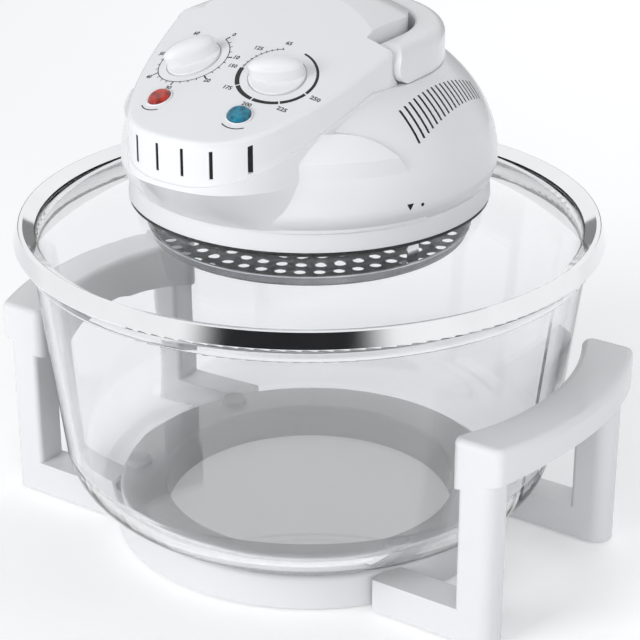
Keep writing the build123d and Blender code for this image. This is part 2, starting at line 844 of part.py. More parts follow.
bridge_foot_x = (stack_w - bridge_foot_w) / 2
with BuildPart() as motor_bridges:
    for plate_z, foot_z in ((lower_bridge_z, lower_bridge_z + bearing_t), (upper_bridge_z, stack_top_z)):
        with Locations((0, 0, plate_z)):
            Box(stack_w, bridge_w, bearing_t, align=(Align.CENTER, Align.CENTER, Align.MIN))
            Cylinder(bush_r, 3 * bearing_t, mode=Mode.SUBTRACT)
        with GridLocations(2 * bridge_foot_x, 0, 2, 1):
            with Locations((0, 0, foot_z)):
                Box(bridge_foot_w, bridge_w, bearing_rise, align=(Align.CENTER, Align.CENTER, Align.MIN))
finish(motor_bridges, "motor_bridges")

with BuildPart() as shaft_bushes:
    for plate_z in (lower_bridge_z, upper_bridge_z):
        with Locations((0, 0, plate_z + bearing_t / 2)):
            Cylinder(bush_r, bush_h)
            Cylinder(shaft_r + turn_gap, bush_h, mode=Mode.SUBTRACT)
finish(shaft_bushes, "shaft_bushes")

with BuildPart() as motor_shaft:
    with Locations((0, 0, shaft_foot_z)):
        Cylinder(shaft_r, shaft_top_z - shaft_foot_z, align=(Align.CENTER, Align.CENTER, Align.MIN))
    chamfer(motor_shaft.edges(), shaft_r / 6)
finish(motor_shaft, "motor_shaft")

with BuildPart() as motor_rotor:
    with BuildSketch(Plane.XY.offset(stack_z)):
        Circle(stack_bore_r - rotor_gap)
        Circle(shaft_r, mode=Mode.SUBTRACT)
    extrude(amount=stack_h)
finish(motor_rotor, "motor_rotor")


def fan(disc_z, blade_z, hub_z, tip_r, height, blade_h):
    """Fan with radial blades on a thin disc, bored for the shaft."""
    blade_root = (shaft_r + fan_hub_r) / 2
    blade_tip = tip_r - blade_t
    with BuildPart() as wheel:
        with BuildSketch(Plane.XY.offset(disc_z)):
            Circle(tip_r)
        extrude(amount=blade_t)
        with BuildSketch(Plane.XY.offset(hub_z)):
            Circle(fan_hub_r)
        extrude(amount=height)
        with PolarLocations((blade_root + blade_tip) / 2, fan_blades):
            with Locations((0, 0, blade_z + blade_h / 2)):
                Box(blade_tip - blade_root, blade_t, blade_h)
        with BuildSketch(Plane.XY.offset(hub_z)):
            Circle(shaft_r)
        extrude(amount=height, mode=Mode.SUBTRACT)
    return wheel.part


with BuildPart() as circulation_fan:
    add(fan(fan_top_z - blade_t, fan_top_z - fan_h, fan_top_z - fan_h, fan_r, fan_h, fan_h))
finish(circulation_fan, "circulation_fan")

with BuildPart() as cooling_fan:
    add(fan(cooling_fan_z, cooling_fan_z, cooling_fan_z, cooling_fan_r, cooling_fan_h, cooling_fan_h))
finish(cooling_fan, "cooling_fan")

with BuildPart() as fan_nuts:
    for nut_z in (fan_top_z - fan_h - nut_h, cooling_fan_z + cooling_fan_h):
        with BuildSketch(Plane.XY.offset(nut_z)):
            RegularPolygon(nut_r, 6)
            Circle(shaft_r, mode=Mode.SUBTRACT)
        extrude(amount=nut_h)
finish(fan_nuts, "fan_nuts")


# ---------------------------------------------------------------- forms of the lower housing and the pod
def shifted(points, by):
    """Points of an open line moved by by to the left of its direction."""
    moved = []
    for place, (x, y) in enumerate(points):
        x_before, y_before = points[max(place - 1, 0)]
        x_after, y_after = points[min(place + 1, len(points) - 1)]
        run = hypot(x_after - x_before, y_after - y_before)
        moved.append((x - by * (y_after - y_before) / run, y + by * (x_after - x_before) / run))
    return moved


def nose_outline(grow):
    """Plan of the wide front part of the pod, grown outwards by grow."""
    half = [(x, back - nose_reach) for x, back in nose_points]
    mirrored = [(-x, y) for x, y in reversed(half)]
    curve = shifted([*mirrored, (0, -nose_reach), *half], -grow)
    rear_y = max(pod_rear_y + grow, curve[-1][1] + ledge)
    with BuildSketch() as outline:
        with BuildLine():
            Spline(*curve)
            Polyline(curve[-1], (curve[-1][0], rear_y), (curve[0][0], rear_y), curve[0])
        make_face()
    return outline.sketch


def tongue_outline(grow):
    """Plan of the narrow part of the pod inside the carry handle, grown outwards by grow."""
    with BuildSketch() as outline:
        with Locations((0, tongue_y)):
            Circle(tongue_r + grow)
            Rectangle(2 * (tongue_r + grow), -fold_y, align=(Align.CENTER, Align.MAX))
    return outline.sketch


def side_region(points):
    """Everything in front of, behind, above or below a line drawn in the YZ plane."""
    with BuildPart() as region:
        with BuildSketch(Plane.YZ):
            with BuildLine():
                Polyline(*points, close=True)
            make_face()
        extrude(amount=2 * dome_r, both=True)
    return region.part


def under_parting(drop):
    """Everything between the deck and the parting face lowered by drop."""
    far = -2 * nose_reach
    return side_region(
        [
            (far, parting_z(far) - drop),
            (fold_y, shoulder_z - drop),
            (-far, shoulder_z - drop),
            (-far, head_z - dome_r),
            (far, head_z - dome_r),
        ]
    )


def front_region(inset):
    """Everything in front of the arch where the front wall meets the dome."""
    arch = shifted([(y, head_z + up) for y, up in front_arch], inset)
    far = -2 * nose_reach
    with BuildPart() as region:
        with BuildSketch(Plane.YZ):
            with BuildLine():
                Spline(*arch)
                Polyline(
                    arch[-1],
                    (arch_meet_y - inset, parting_z(arch_meet_y - inset) - inset),
                    (far, parting_z(far) - inset),
                    (far, head_z - dome_r),
                    (arch[0][0], head_z - dome_r),
                    arch[0],
                )
            make_face()
        extrude(amount=2 * dome_r, both=True)
    return region.part


def lower_form(inset):
    """Solid shape of the lower housing, shrunk by inset."""
    across = dome_r - inset
    rise = dome_rise - inset
    under = dome_under - inset
    top_z = shoulder_z - inset
    top_turn = degrees(asin((top_z - equator_z) / rise))
    low_turn = degrees(asin(dome_equator_h / under))
    with BuildPart() as dome:
        with BuildSketch(Plane.XZ):
            with BuildLine():
                lower = EllipticalCenterArc((0, equator_z), across, under, -low_turn, arc_size=low_turn)
                upper = EllipticalCenterArc((0, equator_z), across, rise, 0, arc_size=top_turn)
                Polyline(upper @ 1, (0, top_z), (0, head_z), lower @ 0)
            make_face()
        revolve(axis=Axis.Z)
    cap_r = front_cap_r - inset
    with BuildPart() as front_cap:
        with BuildSketch(Plane.XZ):
            with BuildLine():
                over = EllipticalCenterArc((0, equator_z), cap_r, front_cap_rise - inset, 0, arc_size=90)
                Polyline(over @ 1, (0, head_z), (cap_r, head_z), over @ 0)
            make_face()
        revolve(axis=Axis.Z)
    with BuildPart() as front:
        with Locations((0, 0, head_z)):
            Cone(
                front_r - front_taper - inset,
                front_r - inset,
                deck_h,
                align=(Align.CENTER, Align.CENTER, Align.MIN),
            )
        add(front_region(inset), mode=Mode.INTERSECT)
        add(front_cap.part, mode=Mode.INTERSECT)
    chord_y = -(front_r - front_taper) * cos(radians(nose_half_angle))
    flare_z = head_z + nose_flare_h
    with BuildPart() as flare:
        with BuildSketch(Plane.XY.offset(head_z)):
            Circle(front_r - front_taper - flare_sink - inset)
            with Locations((0, chord_y)):
                Rectangle(2 * dome_r, dome_r, align=(Align.CENTER, Align.MAX), mode=Mode.INTERSECT)
        with BuildSketch(Plane.XY.offset(flare_z)):
            add(nose_outline(ledge - inset))
            with Locations((0, chord_y)):
                Rectangle(2 * dome_r, dome_r, align=(Align.CENTER, Align.MAX), mode=Mode.INTERSECT)
        loft()
    with BuildPart() as nose:
        with BuildSketch(Plane.XY.offset(flare_z)):
            add(nose_outline(ledge - inset))
        extrude(amount=deck_h)
        add(under_parting(inset), mode=Mode.INTERSECT)
    return dome.part + front.part + flare.part + nose.part


def handle_recess(grow):
    """Room for the two ends of the carry handle, grown by grow."""
    room = handle_h / 2 + shell_gap + grow
    near = tongue_r - grow
    with BuildPart() as recess:
        for side in (-1, 1):
            with Locations(Location((side * (near + handle_outer_r / 2), pivot_y, pivot_z), (0, 90, 0))):
                Cylinder(room, handle_outer_r)
            with Locations((side * (near + handle_outer_r / 2), pivot_y - room, pivot_z)):
                Box(handle_outer_r, dome_r, dome_r, align=(Align.CENTER, Align.MIN, Align.MIN))
    return recess.part


def pod_form(inset):
    """Solid shape of the control pod, shrunk by inset and open to the parting face."""
    far = -2 * nose_reach
    above = side_region(
        [
            (far, parting_z(far)),
            (fold_y, shoulder_z),
            (-far, shoulder_z),
            (-far, 2 * pod_top_z),
            (far, 2 * pod_top_z),
        ]
    )
    a = radians(panel_angle)
    crown_axis = Plane(
        origin=(0, fold_y + panel_crown_r * sin(a), crest_z(fold_y) - panel_crown_r * cos(a)),
        z_dir=(0, cos(a), sin(a)),
    )
    crown = crown_axis * Cylinder(panel_crown_r - inset, 4 * nose_reach)
    cap = Pos(0, pod_cap_y, pod_top_z - pod_cap_r) * Sphere(pod_cap_r - inset)
    nose = extrude(nose_outline(-inset), amount=2 * pod_top_z) & crown
    crest_edges = nose.edges().filter_by(lambda e: e.center().Z > head_z)
    nose = fillet(crest_edges, panel_round - inset)
    tongue = extrude(tongue_outline(-inset), amount=2 * pod_top_z) & crown & cap & above
    return (nose & above) - handle_recess(inset) + tongue


# ---------------------------------------------------------------- lower housing
lower_outer = lower_form(0)
lower_inner = lower_form(wall)

below_plate = under_parting(2 * wall)
with BuildPart() as pod_opening:
    with BuildSketch(Plane.XY.offset(head_z)):
        add(nose_outline(-pod_ledge_w))
        add(tongue_outline(-pod_ledge_w))
    extrude(amount=2 * deck_h)
    add(below_plate, mode=Mode.SUBTRACT)

with BuildPart() as vents:
    for step in range(vent_count):
        vent_y = vent_first_y + step * vent_pitch
        t = 2 * step / (vent_count - 1) - 1
        low = head_z + vent_low[0] + vent_low[1] * t + vent_low[2] * t**2
        high = head_z + vent_top[0] + vent_top[1] * t + vent_top[2] * t**2
        with Locations((0, vent_y, (low + high) / 2)):
            Box(2 * dome_r, vent_w, high - low)
    with BuildSketch():
        Circle(tongue_r)
    extrude(amount=2 * shoulder_z, mode=Mode.SUBTRACT)

with BuildPart() as boss_webs:
    with PolarLocations(collar_screw_circle, collar_screw_count, start_angle=screw_turn):
        with Locations((0, 0, head_z)):
            Box(boss_web, wall, boss_h - head_ring_h, align=(Align.MIN, Align.CENTER, Align.MIN))
    add(lower_outer, mode=Mode.INTERSECT)

with BuildPart() as deck_bosses:
    add(boss_webs.part)
    with PolarLocations(collar_screw_circle, collar_screw_count, start_angle=screw_turn):
        with Locations((0, 0, deck_z)):
            Cylinder(boss_r, boss_h, align=(Align.CENTER, Align.CENTER, Align.MIN))
        with Locations((0, 0, deck_z)):
            Cylinder(
                collar_screw_r + turn_gap,
                collar_screw_len,
                align=(Align.CENTER, Align.CENTER, Align.MIN),
                mode=Mode.SUBTRACT,
            )

with BuildPart() as lower_housing:
    add(lower_outer)
    add(lower_inner, mode=Mode.SUBTRACT)
    add(pod_opening.part, mode=Mode.SUBTRACT)
    add(vents.part, mode=Mode.SUBTRACT)
    add(deck_bosses.part)
    with Locations(Location((0, dome_r, head_z + gland_z_up), (90, 0, 0))):
        Cylinder(gland_r, 2 * gland_out + 2 * wall, mode=Mode.SUBTRACT)
    for x, y in pod_screw_spots:
        with BuildSketch(parting_plane(x, y)):
            Circle(pod_screw_r + turn_gap)
        extrude(amount=-2 * wall, mode=Mode.SUBTRACT)
finish(lower_housing, "lower_housing")

# ---------------------------------------------------------------- control pod
pod_outer = pod_form(0)
pod_inner = pod_form(wall)

with BuildPart() as pod_bosses:
    for x, y in pod_screw_spots:
        with BuildSketch(parting_plane(x, y)):
            Circle(boss_r)
        extrude(amount=pod_screw_len)
    with Locations(Location((0, pivot_y, pivot_z), (0, 90, 0))):
        Cylinder(2 * pin_r, 2 * tongue_r)
        Cylinder(2 * pin_r, 2 * (tongue_r - pin_lug_w), mode=Mode.SUBTRACT)
    add(pod_outer, mode=Mode.INTERSECT)

with BuildPart() as control_pod:
    add(pod_outer)
    add(pod_inner, mode=Mode.SUBTRACT)
    add(pod_bosses.part)
    for x, y in pod_screw_spots:
        with BuildSketch(parting_plane(x, y)):
            Circle(pod_screw_r + turn_gap)
        extrude(amount=pod_screw_len - wall, mode=Mode.SUBTRACT)
    with Locations(Location((0, pivot_y, pivot_z), (0, 90, 0))):
        Cylinder(pin_r + turn_gap, 2 * tongue_r + wall, mode=Mode.SUBTRACT)
    for x in (-knob_x, knob_x):
        with BuildSketch(panel_plane(x, knob_y, dish_depth)):
            Circle(knob_r + dish_gap)
        extrude(amount=2 * wall, mode=Mode.SUBTRACT)
        with BuildSketch(panel_plane(x, knob_y, 2 * wall)):
            Circle(knob_shaft_r + dish_gap)
        extrude(amount=4 * wall, mode=Mode.SUBTRACT)
    for x in (-lamp_x, lamp_x):
        with BuildSketch(panel_plane(x, lamp_y, 2 * wall)):
            Circle(lens_stem_r + turn_gap)
        extrude(amount=4 * wall, mode=Mode.SUBTRACT)
    for place in range(slot_count):
        x = (place - (slot_count - 1) / 2) * slot_pitch
        centre = (x, 0, -crown_drop(x) - slot_below_edge - slot_h / 2)
        with Locations(slope_plane(-nose_reach).location * Location(centre)):
            Box(slot_w, 2 * slot_reach, slot_h, mode=Mode.SUBTRACT)
finish(control_pod, "control_pod")

with BuildPart() as pod_screws:
    for x, y in pod_screw_spots:
        with BuildSketch(parting_plane(x, y, -wall)):
            Circle(pod_screw_r)
        extrude(amount=pod_screw_len - wall)
        with BuildSketch(parting_plane(x, y, -wall)):
            Circle(pod_screw_head_r)
            Rectangle(1.4 * pod_screw_head_r, pod_screw_r / 2, mode=Mode.SUBTRACT)
        extrude(amount=-pod_screw_r)
finish(pod_screws, "pod_screws")


# ---------------------------------------------------------------- knobs, timer, thermostat and lamps
def knob(x, turn):
    """Knob with an oval domed grip, standing in its dish at x and turned by turn degrees."""
    half_len = knob_r - knob_base_h / 3
    crown_h = knob_grip_h / 2
    crown = scale(Sphere(1), by=(half_len, knob_grip_w / 2, crown_h))
    with BuildPart() as piece:
        with BuildSketch():
            Circle(knob_r)
        extrude(amount=knob_base_h)
        fillet(piece.edges().group_by(Axis.Z)[-1], knob_base_h / 3)
        with BuildSketch(Plane.XY.offset(knob_base_h)):
            Ellipse(half_len, knob_grip_w / 2)
        extrude(amount=knob_grip_h - crown_h)
        add(Pos(0, 0, knob_base_h + knob_grip_h - crown_h) * crown)
        with BuildSketch():
            Circle(knob_shaft_r)
        extrude(amount=knob_socket_depth, mode=Mode.SUBTRACT)
    return panel_plane(x, knob_y, dish_depth - slip_gap) * Rot(0, 0, turn) * piece.part


def along_panel(x, y, depth, sketch, length):
    """Sketch placed on the panel at x and y, sunk by depth and extruded outwards by length."""
    return extrude(panel_plane(x, y, depth) * sketch, amount=length)


timer_knob_form = knob(-knob_x, timer_knob_turn)
thermostat_knob_form = knob(knob_x, thermostat_knob_turn)
module_depth = wall + dish_gap
shaft_len = module_depth + module_bore - dish_depth + slip_gap + knob_socket_depth

with BuildPart() as timer_knob:
    add(timer_knob_form)
finish(timer_knob, "timer_knob")

with BuildPart() as thermostat_knob:
    add(thermostat_knob_form)
finish(thermostat_knob, "thermostat_knob")

with BuildSketch() as shaft_section:
    Circle(knob_shaft_r)
with BuildSketch() as module_section:
    Rectangle(module_size, module_size)
    fillet(module_section.vertices(), wall)
with BuildSketch() as bore_section:
    Circle(knob_shaft_r + turn_gap)
with BuildSketch() as bell_section:
    Circle(bell_r)
with BuildSketch() as stem_section:
    Circle(lens_stem_r)
with BuildSketch() as bulb_section:
    Circle(bulb_r)

for piece_x, piece_name in ((-knob_x, "timer_shaft"), (knob_x, "thermostat_shaft")):
    shaft_form = along_panel(piece_x, knob_y, module_depth + module_bore, shaft_section.sketch, shaft_len)
    with BuildPart() as knob_shaft:
        add(shaft_form)
    finish(knob_shaft, piece_name)

for piece_x, piece_name, depth in (
    (-knob_x, "timer_module", timer_depth),
    (knob_x, "thermostat_module", thermostat_depth),
):
    body_form = along_panel(piece_x, knob_y, module_depth + depth, module_section.sketch, depth)
    bore_form = along_panel(
        piece_x, knob_y, module_depth + module_bore + slip_gap, bore_section.sketch, module_bore + slip_gap
    )
    with BuildPart() as module:
        add(body_form)
        add(bore_form, mode=Mode.SUBTRACT)
    finish(module, piece_name)

bell_form = along_panel(-knob_x, knob_y, module_depth + timer_depth + bell_h, bell_section.sketch, bell_h)
with BuildPart() as timer_bell:
    add(bell_form)
    fillet(timer_bell.edges().sort_by(Axis.Z)[0], bell_h / 2)
finish(timer_bell, "timer_bell")

for piece_x, piece_name in ((-lamp_x, "red_lens"), (lamp_x, "blue_lens")):
    stem_form = along_panel(piece_x, lamp_y, lens_stem, stem_section.sketch, lens_stem)
    with BuildPart() as lens_head:
        with BuildSketch():
            Circle(lens_r)
        extrude(amount=lens_h)
        fillet(lens_head.edges().group_by(Axis.Z)[-1], 0.8 * lens_h)
    with BuildPart() as lens:
        add(stem_form)
        add(panel_plane(piece_x, lamp_y) * lens_head.part)
    finish(lens, piece_name)

bulb_forms = [
    along_panel(x, lamp_y, lens_stem + bulb_h, bulb_section.sketch, bulb_h) for x in (-lamp_x, lamp_x)
]
with BuildPart() as lamp_bulbs:
    add(bulb_forms)
finish(lamp_bulbs, "lamp_bulbs")

# ---------------------------------------------------------------- carry handle and its pins
handle_z = shoulder_z + slip_gap
handle_inner_r = handle_outer_r - handle_w
handle_front_y = pivot_y - handle_h / 2
front_of = (Align.CENTER, Align.MAX)

with BuildPart() as handle_side:
    with Locations(Location((0, pivot_y, pivot_z), (0, 90, 0))):
        Cylinder(handle_h / 2, 3 * handle_outer_r)
    with Locations((0, pivot_y, pivot_z)):
        Box(3 * handle_outer_r, 2 * handle_outer_r, handle_h, align=(Align.CENTER, Align.MIN, Align.CENTER))

with BuildPart() as carry_handle:
    with BuildSketch(Plane.XY.offset(handle_z)):
        with Locations((0, tongue_y)):
            Circle(handle_outer_r)
            Rectangle(2 * handle_outer_r, tongue_y - handle_front_y, align=front_of)
            Circle(handle_inner_r, mode=Mode.SUBTRACT)
            Rectangle(2 * handle_inner_r, 2 * handle_outer_r, align=front_of, mode=Mode.SUBTRACT)
        with Locations((0, handle_front_y)):
            Rectangle(3 * handle_outer_r, 3 * handle_outer_r, align=front_of, mode=Mode.SUBTRACT)
    extrude(amount=handle_h)
    top_edges = carry_handle.edges().group_by(Axis.Z)[-1].filter_by(lambda e: e.center().Y > handle_front_y + 1)
    outer_edges = top_edges.filter_by(
        lambda e: hypot((e @ 0.5).X, max(0, (e @ 0.5).Y - tongue_y)) > handle_outer_r - 1
    )
    fillet(outer_edges, handle_outer_round)
    inner_edges = carry_handle.edges().group_by(Axis.Z)[-1].filter_by(
        lambda e: hypot((e @ 0.5).X, max(0, (e @ 0.5).Y - tongue_y)) < handle_inner_r + 1
    )
    fillet(inner_edges, handle_inner_round)
    add(handle_side.part, mode=Mode.INTERSECT)
    with Locations(Location((0, pivot_y, pivot_z), (0, 90, 0))):
        Cylinder(pin_r, 2 * (handle_inner_r + pin_inset), mode=Mode.SUBTRACT)
finish(carry_handle, "carry_handle")

pin_foot_x = tongue_r - pin_lug_w
with BuildPart() as pivot_pins:
    for side in (-1, 1):
        pin_mid_x = side * (pin_foot_x + handle_inner_r + pin_inset) / 2
        with Locations(Location((pin_mid_x, pivot_y, pivot_z), (0, 90, 0))):
            Cylinder(pin_r, handle_inner_r + pin_inset - pin_foot_x)
finish(pivot_pins, "pivot_pins")

# ---------------------------------------------------------------- cord gland and terminal block
gland_z = head_z + gland_z_up
with BuildPart() as cord_gland:
    with Locations(Location((0, dome_r + gland_out, gland_z), (90, 0, 0))):
        Cylinder(gland_r, 2 * gland_out + wall, align=(Align.CENTER, Align.CENTER, Align.MIN))
    fillet(cord_gland.edges().sort_by(Axis.Y)[-1], gland_out / 4)
    with Locations(Location((0, dome_r - gland_out - wall, gland_z), (90, 0, 0))):
        Cylinder(gland_flange_r, wall, align=(Align.CENTER, Align.CENTER, Align.MIN))
    with Locations(Location((0, dome_r, gland_z), (90, 0, 0))):
        Cylinder(gland_bore_r, 8 * gland_out, mode=Mode.SUBTRACT)
finish(cord_gland, "cord_gland")

with BuildPart() as terminal_block:
    with Locations((0, terminal_y, deck_z + terminal_h / 2)):
        Box(terminal_w, terminal_d, terminal_h)
        with GridLocations(terminal_w / 3, 0, 3, 1):
            with Locations((0, 0, terminal_h / 2)):
                Cylinder(terminal_d / 6, terminal_h / 2, mode=Mode.SUBTRACT)
finish(terminal_block, "terminal_block")
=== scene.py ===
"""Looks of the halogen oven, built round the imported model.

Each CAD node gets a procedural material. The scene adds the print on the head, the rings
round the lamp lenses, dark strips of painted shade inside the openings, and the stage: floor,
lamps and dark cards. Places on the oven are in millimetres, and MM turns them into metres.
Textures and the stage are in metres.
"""

import json
import math

import bmesh
import bpy
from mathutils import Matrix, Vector
from mathutils.bvhtree import BVHTree


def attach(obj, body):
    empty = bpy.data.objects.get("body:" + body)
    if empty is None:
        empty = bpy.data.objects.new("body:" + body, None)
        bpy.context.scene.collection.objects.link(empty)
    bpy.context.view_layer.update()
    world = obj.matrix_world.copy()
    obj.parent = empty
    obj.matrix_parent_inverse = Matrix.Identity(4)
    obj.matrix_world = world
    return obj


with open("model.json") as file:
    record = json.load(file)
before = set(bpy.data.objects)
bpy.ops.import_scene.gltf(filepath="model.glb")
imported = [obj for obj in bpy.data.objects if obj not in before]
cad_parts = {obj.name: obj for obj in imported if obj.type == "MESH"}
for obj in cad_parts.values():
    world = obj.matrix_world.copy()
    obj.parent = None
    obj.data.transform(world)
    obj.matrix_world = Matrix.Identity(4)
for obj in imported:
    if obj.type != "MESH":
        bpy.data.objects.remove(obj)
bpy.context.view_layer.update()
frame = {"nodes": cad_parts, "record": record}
nodes = frame["nodes"]
MM = 0.001
link = bpy.context.scene.collection.objects.link


def aim(item, at, target):
    """Put a camera or a lamp at one point, facing another, and link it."""
    item.location = at
    item.rotation_euler = (Vector(target) - Vector(at)).to_track_quat("-Z", "Y").to_euler()
    link(item)


# ---------------------------------------------------------------- camera
CAMERA_AT = Vector((610.6, -895.1, 617.3)) * MM
CAMERA_AIM = Vector((5.0, 3.4, 127.5)) * MM
camera_data = bpy.data.cameras.new("camera")
camera_data.lens = 112.5
camera_data.sensor_width = 36.0
camera = bpy.data.objects.new("camera", camera_data)
aim(camera, CAMERA_AT, CAMERA_AIM)
bpy.context.scene.camera = camera


# ---------------------------------------------------------------- materials
NOISE_LOW, NOISE_HIGH = 0.3, 0.7  # most of a noise texture lies between these


def rgba(colour):
    return (*colour, 1.0)


def shaded(colour, share):
    """The colour, darker by a share."""
    return [c * (1 - share) for c in colour]


def fed(tree, kind, *outputs):
    """New node whose first inputs are linked from these outputs."""
    node = tree.nodes.new(kind)
    for socket, output in zip(node.inputs, outputs):
        tree.links.new(output, socket)
    return node


class Nodes:
    """Short names for building one material's node tree."""

    def __init__(self, name):
        self.material = bpy.data.materials.new(name)
        self.material.use_nodes = True
        self.tree = self.material.node_tree
        self.shader = next(n for n in self.tree.nodes if n.type == "BSDF_PRINCIPLED")
        self.place = self.add("ShaderNodeTexCoord").outputs["Object"]

    def put(self, socket, value):
        """Link an output to a socket, or set the socket to a plain value."""
        if isinstance(value, bpy.types.NodeSocket):
            self.tree.links.new(value, socket)
        else:
            socket.default_value = value

    def add(self, kind, **inputs):
        """New node; each input is a value or another node's output."""
        node = self.tree.nodes.new(kind)
        for key, value in inputs.items():
            self.put(node.inputs[key.replace("_", " ")], value)
        return node

    def set(self, **sockets):
        """Feed the surface shader's sockets."""
        for key, value in sockets.items():
            self.put(self.shader.inputs[key.replace("_", " ")], value)

    def vector(self, operation, *inputs):
        """Outputs of one vector operation."""
        node = self.tree.nodes.new("ShaderNodeVectorMath")
        node.operation = operation
        for socket, value in zip(node.inputs, inputs):
            self.put(socket, value)
        return node.outputs

    def noise(self, scale, detail=3.0, vector=None, stretch=None):
        """Noise from 0 to 1 over the object, stretched along its axes if asked."""
        vector = self.place if vector is None else vector
        if stretch is not None:
            vector = self.add("ShaderNodeMapping", Scale=stretch, Vector=vector).outputs["Vector"]
        noise = self.add("ShaderNodeTexNoise", Vector=vector, Scale=scale, Detail=detail)
        return noise.outputs["Fac"]

    def ramp(self, value, start, stop, low=0.0, high=1.0, kind="LINEAR"):
        """Number from low to high as the value goes from start to stop, level outside them."""
        span = dict(From_Min=start, From_Max=stop, To_Min=low, To_Max=high)
        node = self.add("ShaderNodeMapRange", Value=value, **span)
        node.interpolation_type = kind
        return node.outputs["Result"]

    def between(self, noise, low, high):
        """Noise spread from low to high."""
        return self.ramp(noise, NOISE_LOW, NOISE_HIGH, low, high)

    def mix(self, fac, first, second):
        """Colour between two colours."""
        node = self.tree.nodes.new("ShaderNodeMix")
        node.data_type = "RGBA"
        self.put(node.inputs["Factor"], fac)
        self.put(node.inputs[6], first)
        self.put(node.inputs[7], second)
        return node.outputs[2]

    def patchy(self, first, second, scale, detail=3.0):
        """Colour that wanders between two in soft patches."""
        patches = self.between(self.noise(scale, detail), 0.0, 1.0)
        return self.mix(patches, rgba(first), rgba(second))

    def bump(self, height, strength, distance):
        node = self.add("ShaderNodeBump", Height=height, Strength=strength, Distance=distance)
        return node.outputs["Normal"]

    def ground_and_height(self):
        """The place with its height taken out, and the height."""
        parts = self.add("ShaderNodeSeparateXYZ", Vector=self.place)
        ground = self.add("ShaderNodeCombineXYZ", X=parts.outputs["X"], Y=parts.outputs["Y"])
        return ground.outputs["Vector"], parts.outputs["Z"]

    def round_the_axis(self):
        """Radius and height as a vector: its noise makes lines that run round the oven's axis."""
        ground, height = self.ground_and_height()
        radius = self.vector("LENGTH", ground)["Value"]
        return self.add("ShaderNodeCombineXYZ", X=radius, Y=height).outputs["Vector"]


def moulded(name, colour, rough=(0.25, 0.27), texture=0.02, coat=0.0):
    """Moulded plastic: slight flow shading, uneven gloss and a fine skin texture."""
    n = Nodes(name)
    n.set(
        Base_Color=n.patchy(shaded(colour, 0.006), colour, 9.0, 1.0),
        Roughness=n.between(n.noise(60.0), *rough),
        Normal=n.bump(n.noise(1400.0, 2.0), texture, 0.0002),
        Coat_Weight=coat,
        Coat_Roughness=0.08,
    )
    return n.material


def metal(name, colour, rough, lines=0.03, scale=2500.0, stretch=None):
    """Metal with fine lines that run round the axis, or along the stretch where one is given."""
    n = Nodes(name)
    vector = n.round_the_axis() if stretch is None else n.place
    n.set(
        Base_Color=n.patchy(shaded(colour, 0.05), colour, 35.0),
        Metallic=1.0,
        Roughness=n.between(n.noise(120.0, 4.0), *rough),
        Normal=n.bump(n.noise(scale, 2.0, vector, stretch), lines, 0.0001),
    )
    return n.material


GLASS_EDGE_TINT_AND_SHADE = (0.3, 0.33, 0.38)
EDGE_FROM, EDGE_TO = 0.72, 0.98  # how far the glass is turned from the eye where its edge darkens, partly for the longer path through it, partly as painted dark reflection


def clear(name, colour, rough=(0.0, 0.02), ripple=0.02, ior=1.5, scale=9.0, edge=0.0):
    """Clear glass: slight ripple, faint haze, and a darker colour where it is seen edge on, which
    stands partly for the longer path through the glass and partly for painted dark reflection.
    """
    n = Nodes(name)
    body = n.patchy(shaded(colour, 0.01), colour, 7.0, 1.0)
    if edge:
        grazing = n.add("ShaderNodeLayerWeight", Blend=0.5).outputs["Facing"]
        # painted reflection: the edge-on darkening stands partly for the longer path through the
        # glass, partly for dark reflection
        body = n.mix(n.ramp(grazing, EDGE_FROM, EDGE_TO, high=edge), body, rgba(GLASS_EDGE_TINT_AND_SHADE))
    n.set(
        Base_Color=body,
        Transmission_Weight=1.0,
        IOR=ior,
        Roughness=n.between(n.noise(30.0, 4.0), *rough),
        Normal=n.bump(n.noise(scale, 1.0), ripple, 0.002),
    )
    return n.material


def matted(name, colour, rough=(0.65, 0.8), shade=0.15, grain=500.0, texture=0.25):
    """Rubber, ceramic, felt, ink and other dull surfaces."""
    n = Nodes(name)
    n.set(
        Base_Color=n.patchy(shaded(colour, shade), colour, 90.0, 5.0),
        Roughness=n.between(n.noise(200.0), *rough),
        Normal=n.bump(n.noise(grain, 4.0), texture, 0.0003),
    )
    return n.material


def lens_material(name, colour, deep):
    """Coloured lamp lens with the small facets that are moulded inside it."""
    n = Nodes(name)
    cells = n.add("ShaderNodeTexVoronoi", Vector=n.place, Scale=330.0).outputs["Distance"]
    n.set(
        Base_Color=n.mix(cells, rgba(deep), rgba(colour)),
        Roughness=n.between(n.noise(90.0), 0.16, 0.24),
        Normal=n.bump(cells, 0.35, 0.0006),
        Coat_Weight=0.1,
        Coat_Roughness=0.06,
    )
    return n.material


GUARD_FLOOR_R, GUARD_RIM_R = 0.0905, 0.0925  # metres: painted dark reflection within one, bright plating past the other


def guard_metal():
    """Bright plating on the rim of the dish; over its perforated floor a near-black colour is
    painted dark reflection.
    """
    n = Nodes("plated_guard")
    radius = n.add("ShaderNodeSeparateXYZ", Vector=n.round_the_axis()).outputs["X"]
    # painted reflection: near-black metal over the perforated floor stands for the dark it mirrors
    painted_dark_reflection = n.patchy((0.012, 0.013, 0.016), (0.09, 0.094, 0.102), 28.0)
    bright = n.patchy((0.34, 0.35, 0.37), (0.6, 0.61, 0.63), 40.0)
    n.set(
        Base_Color=n.mix(n.ramp(radius, GUARD_FLOOR_R, GUARD_RIM_R), painted_dark_reflection, bright),
        Metallic=1.0,
        Roughness=n.between(n.noise(120.0, 4.0), 0.1, 0.2),
        Normal=n.bump(n.noise(1200.0, 2.0, n.round_the_axis()), 0.03, 0.0001),
    )
    return n.material


